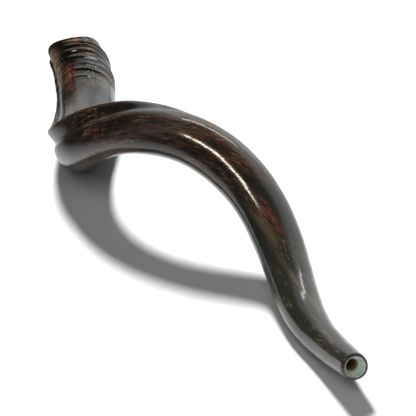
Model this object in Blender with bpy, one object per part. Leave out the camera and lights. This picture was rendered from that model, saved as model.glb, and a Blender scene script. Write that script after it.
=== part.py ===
"""A twisted antelope horn, polished and drilled as a blowing horn.

The horn is one grown piece. Its round body winds about one and a half turns from a narrow mouthpiece
to a wide mouth, sawn off at a slant. A keel grows out of it along the second half and is tallest round
the last bend. A cup is cut into the mouthpiece, and from its throat a bore widens all the way to the mouth.
Metres, +Z up, lying as it rests, with the origin at the bottom centre of its box.
"""
import math

import bmesh
import bpy
import numpy as np

# The winding: the centreline goes round a long axis that runs along +Y, from mouthpiece to mouth.
TURN_START_DEG = -176.0        # 0 is +X, 90 is up
TURN_END_DEG = 354.0
# Values at even stations from the mouthpiece to the mouth
WINDING_RADII = (0.015, 0.031, 0.0515, 0.0695)
ADVANCE_PER_RADIAN = (0.073, 0.067, 0.087, 0.117)
AXIS_SIDEWAYS = 0.034          # how far the axis has moved along +X at the mouth
AXIS_RISE = 0.072              # and how far it has climbed
AXIS_ARCH = 0.034              # how far the middle of the axis arches up

TIP_BEND = (-0.0147, -0.0190, 0.0169)   # how far the mouthpiece end bends out of the winding
TIP_SHARE = 0.10               # the share of the stations that bends

# The body round the centreline
BODY_RADII = (0.0125, 0.0205, 0.0255, 0.0265, 0.0260, 0.0340, 0.0370)
WALLS = (0.0085, 0.0100, 0.0050, 0.0040, 0.0070, 0.0070)
CUP_RADIUS = 0.0090
CUP_DEPTH = 0.0110
EDGE = 0.0016                  # the broken outer edge of both rims

# The keel, by its height and by its angle from the outer side of the winding
KEEL_HEIGHTS = (0.0, 0.0, 0.0, 0.0, 0.0, 0.0, 0.0, 0.0005,
                0.0050, 0.0100, 0.0115, 0.0105, 0.0080, 0.0055, 0.0045)
KEEL_ANGLES_DEG = (0.0, 20.0, 42.0, 60.0, 94.0, 140.0)
KEEL_HALF_WIDTH = 0.0060

# The slanting saw cut, by its slopes along the outer side and the third side
SAW_SLOPES = (0.26, -0.14)
SAW_REACH = 0.09               # how far from the mouth the rings start to slant

# How the finished horn is leaned so that it lies balanced
LEAN_DEG = -0.8                # about its long axis
PITCH_DEG = -0.10              # mouth end up
RUBBED_FLAT = 0.0004           # how deep its lowest spots are rubbed flat where it lies

STATIONS = 84
FINE = 1200                    # samples of the centreline
RING_ANGLES_DEG = (0, 8, 16, 26, 38, 54, 72, 90, 108, 126, 144, 162)   # from the keel, both ways

HORN_COLOUR = (0.020, 0.010, 0.007, 1.0)
HORN_ROUGHNESS = 0.22


def through(values, at):
    """Natural cubic spline through values at even stations from 0 to 1."""
    values = np.asarray(values, dtype=float)
    last = len(values) - 1
    system = np.eye(last + 1)
    bend = np.zeros(last + 1)
    for i in range(1, last):
        system[i, i - 1:i + 2] = (1.0, 4.0, 1.0)
        bend[i] = 6.0 * (values[i - 1] - 2.0 * values[i] + values[i + 1])
    bend = np.linalg.solve(system, bend)
    place = np.clip(np.asarray(at, dtype=float), 0.0, 1.0) * last
    i = np.minimum(place.astype(int), last - 1)
    right = place - i
    left = 1.0 - right
    return (left * values[i] + right * values[i + 1]
            + (left ** 3 - left) * bend[i] / 6.0 + (right ** 3 - right) * bend[i + 1] / 6.0)


def unit(rows):
    """Each row at length one."""
    return rows / np.linalg.norm(rows, axis=1)[:, None]


def lean(points):
    """Turn points about the long axis, then pitch them."""
    roll = math.radians(LEAN_DEG)
    pitch = math.radians(PITCH_DEG)
    about_y = np.array([[math.cos(roll), 0, math.sin(roll)], [0, 1, 0], [-math.sin(roll), 0, math.cos(roll)]])
    about_x = np.array([[1, 0, 0], [0, math.cos(pitch), -math.sin(pitch)], [0, math.sin(pitch), math.cos(pitch)]])
    return points @ (about_x @ about_y).T


def winding():
    """Fine samples of the centreline, with its direction, outer side and third side."""
    station = np.linspace(0.0, 1.0, FINE)
    turn = np.radians(TURN_START_DEG + (TURN_END_DEG - TURN_START_DEG) * station)
    advance = through(ADVANCE_PER_RADIAN, station)
    steps = 0.5 * (advance[1:] + advance[:-1]) * np.diff(turn)
    along = np.concatenate([[0.0], np.cumsum(steps)])
    share = along / along[-1]
    radius = through(WINDING_RADII, station)
    x = radius * np.cos(turn) + AXIS_SIDEWAYS * share
    z = radius * np.sin(turn) + AXIS_RISE * share + AXIS_ARCH * 4.0 * share * (1.0 - share)
    bend = np.clip(1.0 - station / TIP_SHARE, 0.0, 1.0) ** 2
    centre = lean(np.stack([x, along, z], axis=1) + bend[:, None] * np.array(TIP_BEND))
    direction = unit(np.gradient(centre, axis=0))
    outward = lean(np.stack([np.cos(turn), np.zeros(FINE), np.sin(turn)], axis=1))
    outward = unit(outward - (outward * direction).sum(axis=1)[:, None] * direction)
    third = np.cross(direction, outward)
    length = np.concatenate([[0.0], np.cumsum(np.linalg.norm(np.diff(centre, axis=0), axis=1))])
    return station, length, centre, direction, outward, third


def ring_angles():
    """Angles round a ring from the keel, closer together on the keel."""
    one_way = list(RING_ANGLES_DEG)
    other_way = [-angle for angle in reversed(one_way[1:])]
    return np.radians(one_way + [180] + other_way)


class Horn:
    """Ring points of the horn at any distance along it."""

    def __init__(self):
        self.station, self.length, self.centre, self.direction, self.outward, self.third = winding()
        self.total = self.length[-1]
        self.round = ring_angles()

    def station_at(self, distance):
        return float(np.interp(distance, self.length, self.station))

    def at(self, rows, distance):
        return np.array([np.interp(distance, self.length, rows[:, axis]) for axis in range(3)])

    def body_radius(self, distance):
        return float(through(BODY_RADII, self.station_at(distance)))

    def bore_radius(self, distance):
        """The bore, opening into the cup at the mouthpiece."""
        bore = self.body_radius(distance) - float(through(WALLS, self.station_at(distance)))
        depth = min(distance / CUP_DEPTH, 1.0)
        cup = CUP_RADIUS * math.sqrt(1.0 - depth ** 2)
        return max(bore, cup)

    def slant(self, distance):
        """The share of the saw's slant that a ring takes, from none to all of it at the mouth."""
        share = min(max(1.0 - (self.total - distance) / SAW_REACH, 0.0), 1.0)
        return share * share * (3.0 - 2.0 * share)

    def ring(self, distance, radius, keeled, shrink=0.0):
        """One ring of points round the centreline, square to it until the saw's slant begins."""
        station = self.station_at(distance)
        centre = self.at(self.centre, distance)
        outward = self.at(self.outward, distance)
        third = self.at(self.third, distance)
        reach = np.full(len(self.round), radius - shrink)
        if keeled:
            height = max(float(through(KEEL_HEIGHTS, station)), 0.0)
            reach = reach + height * np.exp(-(self.round * radius / KEEL_HALF_WIDTH) ** 2)
        angle = self.round + math.radians(float(through(KEEL_ANGLES_DEG, station)))
        sides = np.cos(angle)[:, None] * outward + np.sin(angle)[:, None] * third
        slope = SAW_SLOPES[0] * np.cos(angle) + SAW_SLOPES[1] * np.sin(angle)
        slide = -reach * slope * self.slant(distance)
        return centre + reach[:, None] * sides + slide[:, None] * self.at(self.direction, distance)


def horn_rings():
    """Rings out along the outside, over the mouth's rim, back down the bore and round the mouthpiece."""
    horn = Horn()
    even = np.linspace(0.0, horn.total, STATIONS)
    outside = [0.0, EDGE] + list(even[1:-1]) + [horn.total - EDGE, horn.total]
    cup = [CUP_DEPTH * depth for depth in (0.0, 0.25, 0.5, 0.7, 0.85, 0.95)]
    inside = cup + [distance for distance in even if distance > CUP_DEPTH]
    rings = []
    for distance in outside:
        at_end = distance in (outside[0], outside[-1])
        rings.append(horn.ring(distance, horn.body_radius(distance), True, EDGE if at_end else 0.0))
    for distance in reversed(inside):
        rings.append(horn.ring(distance, horn.bore_radius(distance), False))
    return rings


def on_the_ground(rings):
    """Rub the lowest spots flat and put the bottom centre of the box at the origin."""
    points = np.concatenate(rings)
    low = points.min(axis=0)
    high = points.max(axis=0)
    floor = low[2] + RUBBED_FLAT
    for ring in rings:
        ring[:, 2] = np.maximum(ring[:, 2], floor)
    origin = np.array([(low[0] + high[0]) / 2, (low[1] + high[1]) / 2, floor])
    return [ring - origin for ring in rings]


def horn_material():
    material = bpy.data.materials.new("polished_horn")
    material.use_nodes = True
    shader = material.node_tree.nodes["Principled BSDF"]
    shader.inputs["Base Color"].default_value = HORN_COLOUR
    shader.inputs["Roughness"].default_value = HORN_ROUGHNESS
    shader.inputs["Metallic"].default_value = 0.0
    return material


def make_horn():
    """The whole horn as one closed loft."""
    loft = bmesh.new()
    rings = [[loft.verts.new(point) for point in ring] for ring in on_the_ground(horn_rings())]
    for i, ring in enumerate(rings):
        following = rings[(i + 1) % len(rings)]
        for j in range(len(ring)):
            k = (j + 1) % len(ring)
            loft.faces.new((ring[j], ring[k], following[k], following[j]))
    bmesh.ops.recalc_face_normals(loft, faces=loft.faces)
    mesh = bpy.data.meshes.new("horn")
    loft.to_mesh(mesh)
    loft.free()
    mesh.shade_smooth()
    mesh.set_sharp_from_angle(angle=math.radians(40))
    horn = bpy.data.objects.new("horn", mesh)
    horn.data.materials.append(horn_material())
    bpy.context.collection.objects.link(horn)
    return horn


def main():
    for leftover in list(bpy.data.objects):
        bpy.data.objects.remove(leftover, do_unlink=True)
    horn = make_horn()
    print("horn:", len(horn.data.polygons), "faces, box", [round(side, 4) for side in horn.dimensions])


main()
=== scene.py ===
# %% [markdown]
# # A polished, twisted kudu horn
#
# A kudu is a large antelope, and each of its horns is a hollow sheath of keratin, the stuff of hooves and
# nails. The sheath winds like a corkscrew. Here it has been sawn off the skull, sanded, buffed to a high
# gloss, and bored at the tip so that it can be blown. This notebook models the surface of that one piece,
# gives it its finishes, and then lights it on a pale table.

# %% Load the frame
import math

import bpy
import numpy as np
from mathutils import Matrix, Quaternion, Vector


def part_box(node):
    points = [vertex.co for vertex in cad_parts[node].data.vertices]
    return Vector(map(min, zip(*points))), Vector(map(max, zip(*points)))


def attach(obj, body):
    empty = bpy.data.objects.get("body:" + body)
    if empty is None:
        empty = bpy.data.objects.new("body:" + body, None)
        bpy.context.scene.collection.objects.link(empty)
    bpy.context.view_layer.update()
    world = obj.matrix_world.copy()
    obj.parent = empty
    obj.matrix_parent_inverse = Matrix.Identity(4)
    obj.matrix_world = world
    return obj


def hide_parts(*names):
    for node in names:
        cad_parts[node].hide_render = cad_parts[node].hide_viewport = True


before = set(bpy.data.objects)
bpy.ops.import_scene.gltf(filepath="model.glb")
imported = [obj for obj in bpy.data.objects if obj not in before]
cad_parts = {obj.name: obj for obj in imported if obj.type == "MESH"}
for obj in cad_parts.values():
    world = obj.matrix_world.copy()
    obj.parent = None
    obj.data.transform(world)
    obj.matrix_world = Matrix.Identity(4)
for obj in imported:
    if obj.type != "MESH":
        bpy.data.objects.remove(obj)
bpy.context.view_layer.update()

horn_low, horn_high = [np.array(corner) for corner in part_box("horn")]
print("horn box, mm:", [round((b - a) * 1000, 1) for a, b in zip(horn_low, horn_high)])

# %% [markdown]
# ## The winding
#
# The horn is drawn from its centreline outwards. A few values at even stations, from mouthpiece to mouth,
# say how wide the winding is and how fast it advances, and a natural cubic spline joins them smoothly.
# Horns grow from the base, so every measure changes slowly along them. That is why few values are enough.
# A Blender curve with a bevel could make a tube too, but it keeps one outline all the way, and this horn
# grows a keel half way along.

# %% Driving dimensions, in metres and degrees
TURN_START_DEG = -176.0        # 0 is +X, 90 is up
TURN_END_DEG = 354.0
WINDING_RADII = (0.015, 0.031, 0.0515, 0.0695)
ADVANCE_PER_RADIAN = (0.073, 0.067, 0.087, 0.117)
AXIS_SIDEWAYS = 0.034          # how far the long axis has moved along +X at the mouth
AXIS_RISE = 0.072              # how far it has climbed there
AXIS_ARCH = 0.034              # how far its middle arches up
TIP_BEND = (-0.0147, -0.0190, 0.0169)   # how far the mouthpiece end bends out of the winding
TIP_SHARE = 0.10               # the share of the stations that bends
LEAN_DEG = -0.8                # the two turns that bring the horn to rest, balanced
PITCH_DEG = -0.10


# %% Helpers for smooth shapes
def through(values, at):
    """Natural cubic spline through values at even stations from 0 to 1."""
    values = np.asarray(values, dtype=float)
    last = len(values) - 1
    system = np.eye(last + 1)
    bend = np.zeros(last + 1)
    for i in range(1, last):
        system[i, i - 1:i + 2] = (1.0, 4.0, 1.0)
        bend[i] = 6.0 * (values[i - 1] - 2.0 * values[i] + values[i + 1])
    bend = np.linalg.solve(system, bend)
    place = np.clip(np.asarray(at, dtype=float), 0.0, 1.0) * last
    i = np.minimum(place.astype(int), last - 1)
    right = place - i
    left = 1.0 - right
    return (left * values[i] + right * values[i + 1]
            + (left ** 3 - left) * bend[i] / 6.0 + (right ** 3 - right) * bend[i + 1] / 6.0)


def unit(rows):
    """Each row at length one."""
    return rows / np.linalg.norm(rows, axis=1)[:, None]


def lean(points):
    """Turn points about the long axis, then pitch them."""
    roll = Matrix.Rotation(math.radians(LEAN_DEG), 3, "Y")
    pitch = Matrix.Rotation(math.radians(PITCH_DEG), 3, "X")
    return points @ np.array(pitch @ roll).T


# %% Wind the centreline
FINE = 1200                    # samples of the centreline
fine = np.linspace(0.0, 1.0, FINE)
turn = np.radians(TURN_START_DEG + (TURN_END_DEG - TURN_START_DEG) * fine)
advance = through(ADVANCE_PER_RADIAN, fine)
along = np.concatenate([[0.0], np.cumsum(0.5 * (advance[1:] + advance[:-1]) * np.diff(turn))])
share = along / along[-1]
winding_radius = through(WINDING_RADII, fine)
tip_bend = np.clip(1.0 - fine / TIP_SHARE, 0.0, 1.0) ** 2
centreline = lean(np.stack([
    winding_radius * np.cos(turn) + AXIS_SIDEWAYS * share,
    along,
    winding_radius * np.sin(turn) + AXIS_RISE * share + AXIS_ARCH * 4.0 * share * (1.0 - share),
], axis=1) + tip_bend[:, None] * np.array(TIP_BEND))
curve_length = np.concatenate([[0.0], np.cumsum(np.linalg.norm(np.diff(centreline, axis=0), axis=1))])
HORN_LENGTH = curve_length[-1]
print("length along the curve, mm:", round(HORN_LENGTH * 1000))

# %% Three directions at every sample
# Along the horn, away from the middle of the winding, and the third one, square to both.
direction = unit(np.gradient(centreline, axis=0))
outward = lean(np.stack([np.cos(turn), np.zeros(FINE), np.sin(turn)], axis=1))
outward = unit(outward - (outward * direction).sum(axis=1)[:, None] * direction)
third = np.cross(direction, outward)
print("the frame is square to within", float(np.abs((outward * direction).sum(axis=1)).max()))


def at_distance(rows, distance):
    """A row of samples at a distance along the horn."""
    return np.array([np.interp(distance, curve_length, rows[:, axis]) for axis in range(3)])


# %% [markdown]
# ## The body, its keel and its growth ridges
#
# A kudu horn is nearly round, with one keel that follows the twist. Beside the keel runs a shallow groove.
# Near the base the sheath shows its growth ridges, even after sanding. All of these are small changes of
# radius, so each is a function of two numbers: the distance along the horn and the angle round it from
# the keel. Making them as real shape, and not as a bump in the material, lets them change the outline too.

# %% Body, bore and keel along the horn
BODY_RADII = (0.0125, 0.0205, 0.0255, 0.0265, 0.0260, 0.0340, 0.0370)
WALLS = (0.0085, 0.0100, 0.0050, 0.0040, 0.0070, 0.0070)
CUP_RADIUS = 0.0090
CUP_DEPTH = 0.0110
KEEL_HEIGHTS = (0.0, 0.0, 0.0, 0.0, 0.0, 0.0, 0.0, 0.0005,
                0.0050, 0.0100, 0.0115, 0.0105, 0.0080, 0.0055, 0.0045)
KEEL_ANGLES_DEG = (0.0, 20.0, 42.0, 60.0, 94.0, 140.0)     # from the outward direction
KEEL_HALF_WIDTH = 0.0060
GROOVE_DEPTH = 0.0022
GROOVE_FROM_KEEL = -0.0125     # round the horn
GROOVE_HALF_WIDTH = 0.0042


def hump(distance, half_width):
    """A smooth hump of height one."""
    return np.exp(-(distance / half_width) ** 2)


def smooth_step(low, high, value):
    """From 0 at low to 1 at high, with soft ends; low may be above high."""
    share_up = np.clip((value - low) / (high - low), 0.0, 1.0)
    return share_up * share_up * (3.0 - 2.0 * share_up)


def keel_shape(station, girth):
    """Extra radius from the keel; girth is the distance round from it."""
    return np.maximum(through(KEEL_HEIGHTS, station), 0.0) * hump(girth, KEEL_HALF_WIDTH)


def groove_shape(station, girth):
    """How deep the groove beside the keel is; it fades in mid-horn and out before the mouth."""
    depth = GROOVE_DEPTH * smooth_step(0.50, 0.62, station) * smooth_step(0.92, 0.78, station)
    return depth * hump(girth - GROOVE_FROM_KEEL, GROOVE_HALF_WIDTH)


def bore_radius(distance, station):
    """The bore, opening into the cup at the mouthpiece."""
    bore = float(through(BODY_RADII, station)) - float(through(WALLS, station))
    depth = min(distance / CUP_DEPTH, 1.0)
    return max(bore, CUP_RADIUS * math.sqrt(1.0 - depth ** 2))


# %% Growth ridges near the mouth
# Distances from the sawn mouth, in metres: the gaps are uneven, as seasons are.
RIDGE_PLACES = (0.0095, 0.0175, 0.0260, 0.0375, 0.0500, 0.0650, 0.0800, 0.0980, 0.1180)
RIDGE_HEIGHT = 0.0023
RIDGE_HALF_WIDTH = 0.0024
STRONG_SIDE = math.radians(165.0)
WEAKEST = 0.22                 # how high they are on the other side, as a share
SLANT_SIDE = 1.0               # in radians from the keel: the side that the ridges slant towards
RIDGE_SLANT = 0.0110
RIDGE_WANDER = 0.0018
RIDGES_FULL = 0.060            # from the mouth; further on they fade
RIDGES_END = 0.135


def ridge_shape(distance, angle):
    """Extra radius from the growth ridges, which slant round the horn and fade towards the keel."""
    slant = RIDGE_SLANT * np.cos(angle - SLANT_SIDE) + RIDGE_WANDER * np.sin(3.0 * angle + 60.0 * distance)
    from_mouth = HORN_LENGTH - distance + slant
    strength = WEAKEST + (1.0 - WEAKEST) * (0.5 + 0.5 * np.cos(angle - STRONG_SIDE))
    fade = smooth_step(RIDGES_END, RIDGES_FULL, from_mouth)
    total = 0.0
    for number, place in enumerate(RIDGE_PLACES):
        own = 0.75 + 0.25 * math.sin(2.3 * number) + 0.6 * np.sin(2.0 * angle + 1.7 * number)
        total = total + own * hump(from_mouth - place, RIDGE_HALF_WIDTH)
    return RIDGE_HEIGHT * strength * fade * (total - 0.4)


# %% The mouth is a little squarer than the rest
SHARPEST_CORNER = math.radians(324.0)
SQUARENESS = 0.055             # as a share of the radius
SQUARED_LENGTH = 0.060
CORNER_HALF_WIDTH = 0.40       # in radians


def signed(angle):
    """An angle brought between minus and plus half a turn."""
    return (angle + math.pi) % (2.0 * math.pi) - math.pi


def squareness(distance, angle):
    """Extra share of the radius: four soft corners, one of them sharper."""
    near_mouth = smooth_step(HORN_LENGTH - SQUARED_LENGTH, HORN_LENGTH - 0.004, distance)
    sharpest = hump(signed(angle - SHARPEST_CORNER), CORNER_HALF_WIDTH)
    return SQUARENESS * near_mouth * (np.cos(4.0 * (angle - SHARPEST_CORNER)) + sharpest)


# %% Hand sanding
# Long, shallow flats a few tenths of a millimetre deep. They make the reflections waver.
SANDING_DEPTH = 0.00014


def sanding_shape(distance, angle):
    """Extra radius from sanding: three slow waves that wind round the horn."""
    waves = (np.sin(47.0 * distance + 2.0 * angle) + 0.7 * np.sin(83.0 * distance - 3.0 * angle + 1.0)
             + 0.5 * np.sin(151.0 * distance + angle + 2.0))
    return SANDING_DEPTH * waves


# %% Rounding at the mouthpiece
ROUNDED_LENGTH = 0.0050
ROUNDED_LEAST = 0.0004
ROUNDED_MORE = 0.0020          # added on one side
ROUNDED_MOST_AT = math.radians(-60.0)
ROUNDED_HALF_WIDTH = 0.75      # in radians


def end_rounding(distance, angle):
    """How much the outside draws in as it comes to the mouthpiece's rim."""
    inward = ROUNDED_LEAST + ROUNDED_MORE * hump(signed(angle - ROUNDED_MOST_AT), ROUNDED_HALF_WIDTH)
    close = max(1.0 - distance / ROUNDED_LENGTH, 0.0)
    return inward * (1.0 - math.sqrt(1.0 - close ** 2))


print("most rounding at the rim, mm:", round(float(end_rounding(0.0, ROUNDED_MOST_AT)) * 1000, 1))


# %% [markdown]
# ## The surface as one mesh
#
# The whole skin is one grid wrapped into a ring: out along the outside, over the sawn rim of the mouth,
# back down the bore, and round the mouthpiece. Each ring of points lies square to the centreline, until
# the slant of the saw cut takes over near the mouth. A loft written this way stays closed and keeps its
# rows in order, so that each point can also carry its own place on the horn.

# %% One ring of points
SIDES = 128
round_angles = np.linspace(0.0, 2.0 * math.pi, SIDES, endpoint=False)
round_angles = round_angles - 0.55 * np.sin(round_angles)     # closer together on the keel
signed_angles = signed(round_angles)
SAW_SLOPES = (0.26, -0.14)     # of the mouth's plane, along the outward and the third direction
SAW_REACH = 0.09               # how far from the mouth the rings start to slant
OUTSIDE, BORE, CUP = 0, 2, 3   # as their finishes are numbered; 1 is the sawn rim
rings = []
plain_rings = []     # the outside without groove, ridges and sanding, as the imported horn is
places = []          # for each ring: distance along, and which surface it is on


def add_ring(distance, surface=OUTSIDE, shrink=0.0):
    """Add one ring; shrink makes the outside smaller and the bore larger, for rounded rims."""
    station = float(np.interp(distance, curve_length, fine))
    body = float(through(BODY_RADII, station))
    girth = signed_angles * body
    keel = keel_shape(station, girth)
    square = 1.0 + squareness(distance, round_angles)
    if surface == OUTSIDE:
        reach = (body * square - shrink + keel - groove_shape(station, girth)
                 + ridge_shape(distance, round_angles) + sanding_shape(distance, round_angles)
                 - end_rounding(distance, signed_angles))
    else:
        reach = bore_radius(distance, station) * square + shrink
    angle = round_angles + math.radians(float(through(KEEL_ANGLES_DEG, station)))
    sides = (np.cos(angle)[:, None] * at_distance(outward, distance)
             + np.sin(angle)[:, None] * at_distance(third, distance))
    slope = SAW_SLOPES[0] * np.cos(angle) + SAW_SLOPES[1] * np.sin(angle)
    slant = -slope * smooth_step(HORN_LENGTH - SAW_REACH, HORN_LENGTH, distance)
    away = sides + slant[:, None] * at_distance(direction, distance)
    rings.append(at_distance(centreline, distance) + reach[:, None] * away)
    plain_rings.append(at_distance(centreline, distance) + (body - shrink + keel)[:, None] * away)
    places.append((distance, surface))


# %% Loft the outside
OUTSIDE_RINGS = 560
EDGE = 0.0012                  # the broken outer edge of both rims
LIP_STEPS = 5
quarter = np.linspace(0.0, math.pi / 2, LIP_STEPS)
for bend in quarter:
    add_ring(EDGE * (1.0 - math.cos(bend)), OUTSIDE, EDGE * (1.0 - math.sin(bend)))
for distance in np.linspace(EDGE, HORN_LENGTH - EDGE, OUTSIDE_RINGS)[1:-1]:
    add_ring(distance)
for bend in reversed(quarter):
    add_ring(HORN_LENGTH - EDGE * (1.0 - math.cos(bend)), OUTSIDE, EDGE * (1.0 - math.sin(bend)))
print("rings outside:", len(rings))

# %% Loft the bore and the cup, from the mouth back to the mouthpiece
INSIDE_RINGS = 170
INNER_EDGE = 0.0006
CUP_STEPS = (0.98, 0.95, 0.9, 0.84, 0.77, 0.7, 0.6, 0.5, 0.4, 0.3, 0.2, 0.1)   # shares of its depth
for bend in quarter:
    add_ring(HORN_LENGTH - INNER_EDGE * (1.0 - math.sin(bend)), BORE, INNER_EDGE * (1.0 - math.cos(bend)))
add_ring(HORN_LENGTH - 0.003, BORE)
for distance in np.linspace(HORN_LENGTH - 0.006, CUP_DEPTH, INSIDE_RINGS):
    add_ring(distance, BORE)
for depth in CUP_STEPS:
    add_ring(CUP_DEPTH * depth, CUP)
for bend in reversed(quarter):
    add_ring(INNER_EDGE * (1.0 - math.sin(bend)), CUP, INNER_EDGE * (1.0 - math.cos(bend)))
print("rings in all:", len(rings))

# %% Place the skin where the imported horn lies
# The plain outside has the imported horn's box, so the two boxes give the move.
RUBBED_FLAT = 0.0004           # its lowest spots are rubbed flat where it lies
points = np.concatenate(rings)
points[:, 2] = np.maximum(points[:, 2], points[:, 2].min() + RUBBED_FLAT)
plain = np.concatenate(plain_rings)
shift = (horn_low + horn_high) / 2.0 - (plain.min(axis=0) + plain.max(axis=0)) / 2.0
shift[2] = horn_low[2] - points[:, 2].min()
points = points + shift
print("skin, mm:", np.round((points.max(axis=0) - points.min(axis=0)) * 1000, 1).tolist())

# %% Build the mesh
count = len(rings)
here = np.arange(count)[:, None] * SIDES + np.arange(SIDES)[None, :]
beside = np.arange(count)[:, None] * SIDES + (np.arange(SIDES)[None, :] + 1) % SIDES
quads = np.stack([here, np.roll(here, -1, axis=0), np.roll(beside, -1, axis=0), beside], axis=2)
mesh = bpy.data.meshes.new("kudu_horn")
mesh.from_pydata(points.tolist(), [], quads.reshape(-1, 4).tolist())
mesh.update()
mesh.shade_smooth()
horn = bpy.data.objects.new("kudu_horn", mesh)
bpy.context.collection.objects.link(horn)
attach(horn, "root")
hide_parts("horn")
print("skin:", len(mesh.vertices), "points,", 2 * len(mesh.polygons), "triangles")

# %% Which faces have which finish
# The faces between one ring and the next take the ring's finish, apart from the flat of each rim.
POLISHED, SAWN = 0, 1
finish_of = np.array([surface for _, surface in places], dtype=np.int32)
last_outside = int(np.flatnonzero(finish_of == OUTSIDE)[-1])
finish_of[last_outside] = SAWN
finish_of[-1] = POLISHED
mesh.polygons.foreach_set("material_index", np.repeat(finish_of, SIDES))
print("rings of faces: polished, sawn, bore, cup:", np.bincount(finish_of).tolist())

# %% [markdown]
# ## Each point remembers its place on the horn
#
# Fibres and growth lines follow the twist, so a finish has to know where on the horn each point is. An
# image would need the skin unrolled. Numbers stored with the points are simpler: Blender spreads them over
# the faces, and an Attribute node reads them. The grain's three numbers put the unwound horn in space as
# a straight rod, so noise can be stretched along it.

# %% Store the grain
GRAIN_RADIUS = 0.028           # about the body's radius in mid-horn
distances = np.repeat(np.array([distance for distance, _ in places]), SIDES)
angles = np.tile(round_angles, count)


def remember(name, values):
    """Store one number, or three, with every point of the skin."""
    vectors = values.ndim == 2
    attribute = mesh.attributes.new(name, "FLOAT_VECTOR" if vectors else "FLOAT", "POINT")
    attribute.data.foreach_set("vector" if vectors else "value", values.astype(np.float32).ravel())
    print("stored", name, "for", len(values), "points")


remember("grain", np.stack([GRAIN_RADIUS * np.cos(angles), GRAIN_RADIUS * np.sin(angles), distances], axis=1))
remember("share", distances / HORN_LENGTH)

# %% [markdown]
# ## Where the colour changes
#
# Horn colour is not even. The tip is olive-black, the middle is brown-black with red-brown clouds, and the
# keel and the base are worn through to paler horn. A few stains, each a soft oval placed by its distance
# from the mouth and its angle from the keel, say where. The finish then breaks their edges up with fibres.

# %% Stains
# Each is: from the mouth (mm), angle from the keel (degrees), half length (mm), half width (degrees), amount.
RED_STAINS = ((70, 70, 14, 14, 1.0), (92, 55, 24, 18, 0.6), (36, 118, 10, 18, 0.6), (7, 105, 5, 18, 0.8),
              (505, 262, 40, 9, 0.5), (560, 240, 26, 9, 0.45), (645, 205, 24, 13, 0.8),
              (430, 258, 60, 9, 0.35), (320, 250, 50, 12, 0.35))
PALE_STAINS = ((26, 38, 20, 16, 1.0), (58, 30, 24, 11, 0.8), (24, 128, 5, 20, 0.4), (6, 108, 3, 16, 0.6),
               (85, 150, 22, 20, 0.25), (650, 180, 30, 9, 0.16), (745, 168, 60, 6, 0.12))
GREY_STAINS = ((58, 125, 10, 14, 0.24), (100, 100, 18, 40, 0.24), (470, 262, 50, 18, 0.48),
               (560, 290, 26, 12, 0.40))


def stained(stains):
    """The total of soft ovals on the skin."""
    total = np.zeros(len(distances))
    for from_mouth_mm, angle_deg, half_length_mm, half_width_deg, amount in stains:
        across = np.degrees(signed(angles - math.radians(angle_deg)))
        lengthways = (HORN_LENGTH - distances) * 1000.0 - from_mouth_mm
        total += amount * hump(lengthways, half_length_mm) * hump(across, half_width_deg)
    return np.clip(total, 0.0, 1.0)


for name, stains in (("red", RED_STAINS), ("pale", PALE_STAINS), ("grey", GREY_STAINS)):
    remember(name, stained(stains))

# %% Wear along the keel
KEEL_WEAR = 0.6
WORN_HALF_WIDTH = 0.0032
station_of = np.interp(distances, curve_length, fine)
worn = hump(signed(angles) * GRAIN_RADIUS, WORN_HALF_WIDTH) * smooth_step(0.52, 0.60, station_of)
remember("keel_wear", KEEL_WEAR * worn)


# %% [markdown]
# ## The finishes
#
# Four finishes meet on this one piece of keratin. Every one is a node tree. A short helper adds a node
# with its settings and links in a single call, and another turns the hex colours that painters use into
# the linear values that Blender mixes.

# %% Helpers for materials
def linear(hex_colour):
    """sRGB hex to linear RGBA."""
    parts = [int(hex_colour[i:i + 2], 16) / 255.0 for i in (1, 3, 5)]
    return [p / 12.92 if p <= 0.04045 else ((p + 0.055) / 1.055) ** 2.4 for p in parts] + [1.0]


def node(tree, kind, settings=None, **inputs):
    """Add a node. An input is in_ and its name or number; it takes a value, or a socket to link."""
    made = tree.nodes.new(kind)
    settings = dict(settings or {})
    stops = settings.pop("stops", ())
    for name, value in settings.items():
        setattr(made, name, value)
    while stops and len(made.color_ramp.elements) < len(stops):
        made.color_ramp.elements.new(0.5)
    for element, (place, hex_colour) in zip(made.color_ramp.elements if stops else (), stops):
        element.position = place
        element.color = linear(hex_colour)
    for name, value in inputs.items():
        key = name[3:]
        socket = made.inputs[int(key) if key.isdigit() else key.replace("_", " ")]
        if isinstance(value, bpy.types.NodeSocket):
            tree.links.new(value, socket)
        else:
            socket.default_value = value
    return made


def new_finish(name, roughness):
    """A material of keratin or paint, with its tree and its shader."""
    finish = bpy.data.materials.new(name)
    finish.use_nodes = True
    shader = finish.node_tree.nodes["Principled BSDF"]
    shader.inputs["Roughness"].default_value = roughness
    print("finish:", name)
    return finish, finish.node_tree, shader


# %% Read the stored numbers, and lay one colour over another
def grown_noise(tree, across_mm, along_mm, detail=4.0):
    """Noise on the unwound horn, with spots of this size."""
    place = node(tree, "ShaderNodeAttribute", {"attribute_name": "grain"}).outputs["Vector"]
    size = (across_mm / 1000.0, across_mm / 1000.0, along_mm / 1000.0)
    spot = node(tree, "ShaderNodeMapping", {"vector_type": "TEXTURE"}, in_Vector=place, in_Scale=size)
    return node(tree, "ShaderNodeTexNoise", in_Vector=spot.outputs["Vector"], in_Scale=1.0,
                in_Detail=detail, in_Roughness=0.6).outputs["Fac"]


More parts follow.
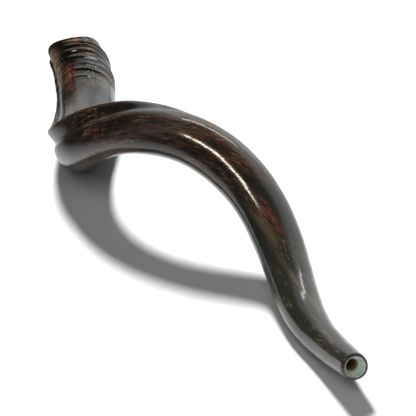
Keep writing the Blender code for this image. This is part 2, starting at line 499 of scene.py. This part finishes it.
def layer(tree, under, hex_colour, amount, *masks):
    """Lay a colour over another, by an amount and where every mask (value, low, high) has risen."""
    for value, low, high in masks:
        risen = node(tree, "ShaderNodeMapRange", {"interpolation_type": "SMOOTHSTEP"}, in_Value=value,
                     in_From_Min=low, in_From_Max=high).outputs[0]
        amount = node(tree, "ShaderNodeMath", {"operation": "MULTIPLY"}, in_0=amount, in_1=risen).outputs[0]
    # A colour mix has its factor in socket 0, its two colours in 6 and 7, and its result in output 2.
    return node(tree, "ShaderNodeMix", {"data_type": "RGBA"}, in_0=amount, in_6=under,
                in_7=linear(hex_colour)).outputs[2]


# %% [markdown]
# ### Polished keratin
#
# Keratin grows in fine fibres that run along the horn, and pigment gathers in them unevenly: near-black
# brown with reddish and tan streaks. Buffing leaves a clear, wet-looking gloss. So the colour comes from
# noise that is stretched along the horn, and the gloss from a clear coat over a slightly softer layer.
# The sharp reflections of the coat and the hazy ones below it together are what the eye reads as horn.

# %% Patterns on the polished outside
# Sizes are in millimetres, across the horn and along it.
KERATIN_IOR = 1.55
FIBRES_MM = (1.4, 20.0)        # real fibres are thinner; these are as coarse as it takes to show them
FLECKS_MM = (1.2, 11.0)        # single tan fibres, as coarse for the same reason
CLOUDS_MM = (16.0, 50.0)       # where the brown pigment gathers
GROWTH_LINES_MM = (30.0, 2.8)  # dark lines round the horn
PATCHES_MM = (3.0, 14.0)       # what breaks up a red stain
polished, tree, shader = new_finish("buffed_kudu_keratin", 0.2)
fibres = grown_noise(tree, *FIBRES_MM)
flecks = grown_noise(tree, *FLECKS_MM, detail=3.0)
clouds = grown_noise(tree, *CLOUDS_MM, detail=3.0)
growth_lines = grown_noise(tree, *GROWTH_LINES_MM, detail=3.0)
patches = grown_noise(tree, *PATCHES_MM)
stored = {name: node(tree, "ShaderNodeAttribute", {"attribute_name": name}).outputs["Fac"]
          for name in ("share", "red", "pale", "grey", "keel_wear")}

# %% Colour of the polished outside, from the deepest layer up
colour = node(tree, "ShaderNodeValToRGB", {"stops": (
    (0.0, "#2a2a25"), (0.30, "#24231e"), (0.45, "#1c1611"), (0.80, "#17110d"), (0.90, "#090605"))},
    in_Fac=stored["share"]).outputs["Color"]
colour = layer(tree, colour, "#553322", 1.0, (clouds, 0.46, 0.62), (fibres, 0.42, 0.60),
               (stored["share"], 0.20, 0.40), (stored["share"], 0.93, 0.84))
colour = layer(tree, colour, "#7c4434", stored["red"], (patches, 0.36, 0.58))
colour = layer(tree, colour, "#6a6460", stored["grey"], (fibres, 0.36, 0.60))
colour = layer(tree, colour, "#caa880", stored["pale"], (fibres, 0.30, 0.52))
colour = layer(tree, colour, "#8c7456", 0.8, (flecks, 0.55, 0.68), (clouds, 0.46, 0.60))
colour = layer(tree, colour, "#080605", 0.85, (growth_lines, 0.50, 0.60), (stored["share"], 0.46, 0.58))
colour = layer(tree, colour, "#6b5340", stored["keel_wear"], (fibres, 0.35, 0.55))
tree.links.new(colour, shader.inputs["Base Color"])
print("nodes in the polished finish so far:", len(tree.nodes))

# %% Gloss of the polished outside
# Buffing leaves the fibres standing a little proud, over soft waves, and the gloss uneven in small spots.
MOTTLE_MM = (2.6, 4.0)
BUFFING_MM = (6.0, 14.0)
softness = node(tree, "ShaderNodeMapRange", in_Value=grown_noise(tree, *MOTTLE_MM), in_From_Min=0.3,
                in_From_Max=0.7, in_To_Min=0.14, in_To_Max=0.24).outputs[0]
tree.links.new(softness, shader.inputs["Roughness"])
shader.inputs["IOR"].default_value = KERATIN_IOR
shader.inputs["Coat Weight"].default_value = 1.0
shader.inputs["Coat Roughness"].default_value = 0.07
shader.inputs["Coat IOR"].default_value = 1.5
fine_bump = node(tree, "ShaderNodeBump", in_Strength=0.12, in_Distance=0.0002, in_Height=fibres)
soft_bump = node(tree, "ShaderNodeBump", in_Strength=0.22, in_Distance=0.0006,
                 in_Height=grown_noise(tree, *BUFFING_MM, detail=2.0), in_Normal=fine_bump.outputs[0])
for socket in ("Normal", "Coat Normal"):
    tree.links.new(soft_bump.outputs[0], shader.inputs[socket])
print("nodes in the polished finish:", len(tree.nodes))

# %% [markdown]
# ### Sawn rim
#
# The mouth was cut with a saw and only sanded, so it stays dull and shows the layers of the sheath as
# small light and dark spots. One noise with a two-stop colour ramp is enough for a surface this narrow.

# %% Make the sawn rim
LAYERS_MM = (1.2, 1.2)         # real layers are thinner; these are as coarse as it takes to show them
sawn, tree, shader = new_finish("sanded_keratin_rim", 0.5)
layers = grown_noise(tree, *LAYERS_MM, detail=3.0)
rim_colour = node(tree, "ShaderNodeValToRGB", {"stops": ((0.35, "#241811"), (0.65, "#5e4633"))},
                  in_Fac=layers)
tree.links.new(rim_colour.outputs["Color"], shader.inputs["Base Color"])
shader.inputs["IOR"].default_value = KERATIN_IOR

# %% [markdown]
# ### Raw bore
#
# The bore is as the animal left it: rough, pale brown and dusty. Its matt look comes from a high roughness
# and a strong bump, so that it never shows the clear reflections of the outside.

# %% Make the raw bore
DUST_MM = (4.0, 18.0)          # the hollows that hold dust
raw, tree, shader = new_finish("raw_bore_keratin", 0.75)
dust = grown_noise(tree, *DUST_MM)
bore_colour = node(tree, "ShaderNodeValToRGB", {"stops": ((0.3, "#7a5c40"), (0.7, "#a88a66"))}, in_Fac=dust)
tree.links.new(bore_colour.outputs["Color"], shader.inputs["Base Color"])
shader.inputs["IOR"].default_value = KERATIN_IOR
raw_bump = node(tree, "ShaderNodeBump", in_Strength=0.6, in_Distance=0.001, in_Height=dust)
tree.links.new(raw_bump.outputs[0], shader.inputs["Normal"])

# %% [markdown]
# ### Polished cup
#
# The cup was cut with a reamer and polished. The thick horn there is pale, a soft greenish cream, and
# towards the throat it is darkened to brown: painted shade, for the shadow that falls in the throat.

# %% Make the cup
PALE_CLOUDS_MM = (10.0, 3.0)   # soft clouds, longest round the cup
# Painted shade of the throat: where it begins and where it is full, as shares of the horn's length.
THROAT_SHADE_BEGINS, THROAT_SHADE_FULL = 0.0080, 0.0104      # as shares of the horn's length
cup, tree, shader = new_finish("polished_pale_cup", 0.25)
pale_horn = node(tree, "ShaderNodeValToRGB",
                 {"stops": ((0.35, "#b8ccc0"), (0.55, "#d8e8de"), (0.7, "#f0ead4"))},
                 in_Fac=grown_noise(tree, *PALE_CLOUDS_MM)).outputs["Color"]
depth = node(tree, "ShaderNodeAttribute", {"attribute_name": "share"}).outputs["Fac"]
# Painted shade: the pale cup is darkened to brown towards the throat, where shadow falls.
cup_colour = layer(tree, pale_horn, "#6e5238", 1.0, (depth, THROAT_SHADE_BEGINS, THROAT_SHADE_FULL))
tree.links.new(cup_colour, shader.inputs["Base Color"])
shader.inputs["IOR"].default_value = KERATIN_IOR
shader.inputs["Coat Weight"].default_value = 0.5
shader.inputs["Coat Roughness"].default_value = 0.08

# %% Give the horn its four finishes, in the order of its faces
for finish in (polished, sawn, raw, cup):
    horn.data.materials.append(finish)
print("finishes on the horn:", len(horn.data.materials))

# %% [markdown]
# ## Directions in the room
#
# A glossy black thing is drawn by what it reflects, so the lamps and the walls have to be placed as the
# camera sees them: so many degrees to its right, so many up. One function turns such a pair into a
# direction in the world.

# %% Directions as the camera sees them
CAMERA_AZIMUTH_DEG = 31.87     # its heading, clockwise from +Y
LOOK_AT = Vector((0.02, -0.03, 0.08))


def toward(azimuth_deg, elevation_deg):
    """A unit direction; azimuth 0 is away from the camera, 90 to its right."""
    azimuth = math.radians(azimuth_deg + CAMERA_AZIMUTH_DEG)
    elevation = math.radians(elevation_deg)
    return Vector((math.sin(azimuth) * math.cos(elevation), math.cos(azimuth) * math.cos(elevation),
                   math.sin(elevation)))


rightward, forward_flat = toward(90, 0), toward(0, 0)
print("rightward is", [round(part, 3) for part in rightward])

# %% [markdown]
# ## Table
#
# The table is a plain matt white board. In a studio, a black card beside a glossy thing keeps that side of
# it dark. Here one blend does that: in reflections only, the table is greyer, and it darkens to the left.

# %% Make the table
TABLE_LEFT, TABLE_RIGHT = -0.90, 2.0
TABLE_NEAR, TABLE_FAR = -1.2, 1.4
SHADE_FULL, SHADE_GONE = -0.37, -0.08   # from the middle to the right
corners = ((TABLE_LEFT, TABLE_NEAR), (TABLE_RIGHT, TABLE_NEAR),
           (TABLE_RIGHT, TABLE_FAR), (TABLE_LEFT, TABLE_FAR))
table_mesh = bpy.data.meshes.new("pale_table")
table_mesh.from_pydata([tuple(rightward * x + forward_flat * y) for x, y in corners], [], [(0, 1, 2, 3)])
table = bpy.data.objects.new("pale_table", table_mesh)
bpy.context.collection.objects.link(table)
print("table, m:", round(TABLE_RIGHT - TABLE_LEFT, 2), "by", round(TABLE_FAR - TABLE_NEAR, 2))

# %% Paint the table
paint, tree, shader = new_finish("matt_white_laminate", 0.9)
in_reflections = node(tree, "ShaderNodeLightPath").outputs["Is Glossy Ray"]
from_middle = node(tree, "ShaderNodeVectorMath", {"operation": "DOT_PRODUCT"}, in_1=tuple(rightward),
                   in_0=node(tree, "ShaderNodeNewGeometry").outputs["Position"]).outputs["Value"]
shaded = layer(tree, linear("#282828"), "#c4c4c4", 1.0, (from_middle, SHADE_FULL, SHADE_GONE))
white_or_shaded = node(tree, "ShaderNodeMix", {"data_type": "RGBA"}, in_0=in_reflections,
                       in_6=linear("#f2f2f2"), in_7=shaded).outputs[2]
tree.links.new(white_or_shaded, shader.inputs["Base Color"])
shader.inputs["Specular IOR Level"].default_value = 0.1
table_mesh.materials.append(paint)


# %% [markdown]
# ## Lamps
#
# Two lamps only make glints: a small warm one at the front, and a long strip overhead that draws a line
# of light along the horn. The other two carry no gloss, as through a polarising filter: a broad one fills
# the front, and a far one from behind makes the soft shadow. With the two jobs apart, each can be set
# without spoiling the other.

# %% Hang the lamps
def panel(name, width, height, watts, hex_colour="#ffffff"):
    """A rectangular lamp."""
    lamp = bpy.data.lights.new(name, "AREA")
    lamp.shape = "RECTANGLE"
    lamp.size = width
    lamp.size_y = height
    lamp.energy = watts
    lamp.color = linear(hex_colour)[:3]
    return lamp


def hang(lamp, place, facing, glints=True, lights=True):
    """Put a lamp in the room; it can be left out of reflections, or light nothing matt."""
    holder = bpy.data.objects.new(lamp.name, lamp)
    holder.location = place
    holder.rotation_euler = facing.to_track_quat("-Z", "Y").to_euler()
    holder.visible_glossy = glints
    holder.visible_diffuse = lights
    bpy.context.collection.objects.link(holder)
    print("lamp:", lamp.name)
    return holder


fill_from, glint_from, shadow_from = toward(-165, 40), toward(-140, 44), toward(-12, 52)
hang(panel("front_fill", 1.2, 1.0, 8.0), LOOK_AT + fill_from * 1.8, -fill_from, glints=False)
hang(panel("small_front_lamp", 0.40, 0.14, 3.2, "#fff1dc"), LOOK_AT + glint_from * 1.6, -glint_from,
     lights=False)
strip_place = LOOK_AT + rightward * 0.40 + forward_flat * 0.92 + Vector((0.0, 0.0, 1.5))
strip = hang(panel("line_lamp", 1.1, 0.14, 2.6), strip_place, Vector((0.0, 0.0, -1.0)), lights=False)
strip.rotation_euler = (0.0, 0.0, -math.radians(CAMERA_AZIMUTH_DEG))     # its length runs left to right
far_lamp = bpy.data.lights.new("far_lamp", "SUN")
far_lamp.energy = 4.9
far_lamp.angle = math.radians(11.0)
hang(far_lamp, Vector((0.0, 0.0, 0.0)), -shadow_from, glints=False)

# %% [markdown]
# ## The room
#
# The walls are the broad, soft part of what the horn reflects: pale to the right and behind it, dark to
# the left. Each glow is a round patch with a soft edge, found from the angle between a ray and the patch's
# middle. They are drawn in the world, which needs no mesh and casts no hard shadow. The camera itself sees
# plain white, and matt surfaces see the walls dimmed, so that the shadow stays deep.

# %% Light the room
# Each glow: direction, radius of its even middle and of its edge in degrees, and brightness.
GLOWS = (
    (toward(60, 30), 20.0, 48.0, 0.55),
    (toward(6, 12), 12.0, 42.0, 0.50),
    (toward(-12, 46), 8.0, 27.0, 0.45),
    (toward(95, 5), 20.0, 60.0, 0.30),
)
ROOM_DIM = 0.035
ON_MATT = 0.15
world = bpy.data.worlds.new("studio")
bpy.context.scene.world = world
world.use_nodes = True
tree = world.node_tree
tree.nodes.clear()
ray = node(tree, "ShaderNodeTexCoord").outputs["Generated"]
brightness = ROOM_DIM
for middle, middle_deg, edge_deg, amount in GLOWS:
    nearness = node(tree, "ShaderNodeVectorMath", {"operation": "DOT_PRODUCT"}, in_0=ray,
                    in_1=tuple(middle)).outputs["Value"]
    glow = node(tree, "ShaderNodeMapRange", {"interpolation_type": "SMOOTHSTEP"}, in_Value=nearness,
                in_From_Min=math.cos(math.radians(edge_deg)), in_From_Max=math.cos(math.radians(middle_deg)),
                in_To_Max=amount).outputs[0]
    brightness = node(tree, "ShaderNodeMath", {"operation": "ADD"}, in_0=glow, in_1=brightness).outputs[0]
print("glows in the room:", len(GLOWS))

# %% What each kind of ray sees
kinds = node(tree, "ShaderNodeLightPath").outputs
dimming = node(tree, "ShaderNodeMapRange", in_Value=kinds["Is Diffuse Ray"], in_To_Min=1.0,
               in_To_Max=ON_MATT).outputs[0]
strength = node(tree, "ShaderNodeMath", {"operation": "MULTIPLY"}, in_0=brightness, in_1=dimming).outputs[0]
walls = node(tree, "ShaderNodeBackground", in_Color=linear("#f4fbfa"), in_Strength=strength).outputs[0]
backdrop = node(tree, "ShaderNodeBackground", in_Color=linear("#ffffff"), in_Strength=1.0).outputs[0]
seen = node(tree, "ShaderNodeMixShader", in_0=kinds["Is Camera Ray"], in_1=walls, in_2=backdrop).outputs[0]
node(tree, "ShaderNodeOutputWorld", in_Surface=seen)
print("nodes in the room:", len(tree.nodes))

# %% [markdown]
# ## Camera
#
# The camera stands near the mouthpiece and looks down along the horn, so the mouthpiece is large and the
# mouth is small. A camera further off, with a longer lens, would flatten that difference. Its turn comes
# from its heading, how far it looks down, and a slight roll.

# %% Place the camera
CAMERA_PLACE = (-0.6604, -1.1162, 0.6211)
CAMERA_DOWN_DEG = 25.19
CAMERA_ROLL_DEG = -1.41
CAMERA_LENS_MM = 109.1
lens = bpy.data.cameras.new("studio_camera")
lens.lens = CAMERA_LENS_MM
camera = bpy.data.objects.new("studio_camera", lens)
camera.location = CAMERA_PLACE
level = toward(0, -CAMERA_DOWN_DEG).to_track_quat("-Z", "Y")
camera.rotation_euler = (level @ Quaternion((0, 0, 1), math.radians(CAMERA_ROLL_DEG))).to_euler()
bpy.context.collection.objects.link(camera)
bpy.context.scene.camera = camera
bpy.context.scene.view_settings.view_transform = "Standard"
print("camera to horn, m:", round((LOOK_AT - camera.location).length, 2))
